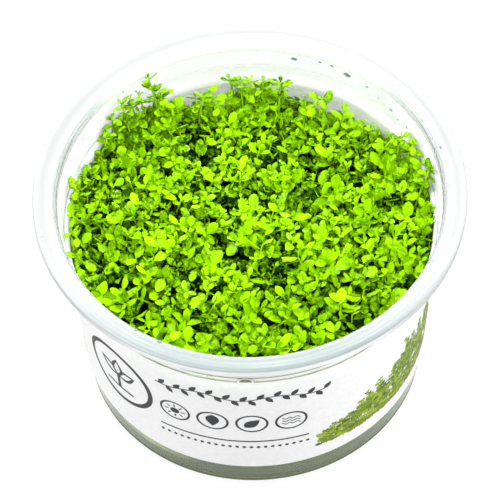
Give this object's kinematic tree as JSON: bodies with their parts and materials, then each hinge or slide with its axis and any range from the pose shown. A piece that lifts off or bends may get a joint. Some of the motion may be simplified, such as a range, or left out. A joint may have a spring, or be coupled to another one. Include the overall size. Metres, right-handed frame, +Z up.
{
  "type": "potted dwarf baby tears",
  "caption": "Clear round open tub with a flanged rim and a wrap label, holding nutrient gel and a dense low carpet of small-leaved aquarium plant.",
  "frame": {"origin": "middle of the foot ring, on the surface that the tub stands on", "axes": "+Z up along the tub's axis, -Y towards the front of the label, +X to the right seen from the front"},
  "size_m": [0.104, 0.104, 0.065],
  "materials": {
    "clear_plastic": "clear polypropylene, glossy inside and out, a little hazy at the rim",
    "label_film": "white printed film, satin",
    "gel": "clear grey-green set gel, wet",
    "leaf": "fresh yellow-green leaf, satin, thin enough to let light through"
  },
  "bodies": {
    "root": {"cup": "clear_plastic", "label": "label_film", "growth_gel": "gel", "plantlet_centre": "leaf", "plantlet_inner_1": "leaf", "plantlet_inner_2": "leaf", "plantlet_inner_3": "leaf", "plantlet_inner_4": "leaf", "plantlet_inner_5": "leaf", "plantlet_outer_1": "leaf", "plantlet_outer_2": "leaf", "plantlet_outer_3": "leaf", "plantlet_outer_4": "leaf", "plantlet_outer_5": "leaf", "plantlet_outer_6": "leaf", "plantlet_outer_7": "leaf", "plantlet_outer_8": "leaf", "plantlet_outer_9": "leaf", "plantlet_outer_10": "leaf", "plantlet_outer_11": "leaf", "shoot_back_left": "leaf", "shoot_left": "leaf", "shoot_back": "leaf", "shoot_back_middle": "leaf", "shoot_back_right": "leaf", "shoot_right_back": "leaf", "shoot_right": "leaf", "shoot_right_front": "leaf"}
  },
  "joints": []
}
